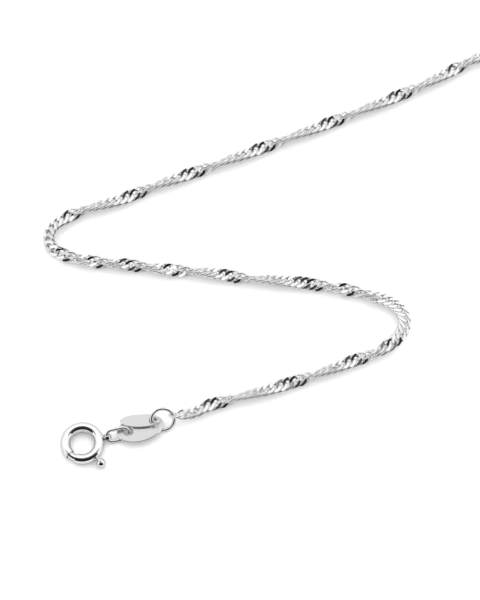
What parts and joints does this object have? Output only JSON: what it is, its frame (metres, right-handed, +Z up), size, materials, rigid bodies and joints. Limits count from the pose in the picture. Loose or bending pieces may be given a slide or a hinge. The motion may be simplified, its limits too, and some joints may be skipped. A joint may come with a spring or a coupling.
{
  "type": "singapore chain necklace",
  "caption": "Fine twisted silver chain with a spring ring clasp, oval tags and end rings, lying open in bends on a flat surface.",
  "frame": {"origin": "centre of the bounding box's footprint, on the surface that the chain lies on", "axes": "+Z up from the surface, +X across the chain's longest extent with the clasp and the open end at -X, +Y away from the near strands"},
  "size_m": [0.1361, 0.1205, 0.0024],
  "materials": {
    "polished_silver": "polished silver",
    "rolled_silver": "flat rolled silver, softly polished",
    "chain_silver": "diamond cut polished silver"
  },
  "bodies": {
    "necklace": {"clasp_body": "polished_silver", "clasp_loop": "polished_silver", "tag_lower": "rolled_silver", "tag_upper": "rolled_silver", "jump_ring": "polished_silver", "chain": "chain_silver", "end_ring": "polished_silver"},
    "bolt": {"clasp_bolt": "polished_silver"}
  },
  "joints": [
    {"name": "clasp_lever", "type": "hinge", "parent": "necklace", "child": "bolt", "pos_m": [-0.0579, -0.0037, 0.00065], "axis": [0, 0, 1], "range_deg": [0, 35], "stiffness_Nm_per_rad": 0.0005, "springref_deg": -5.73}
  ]
}
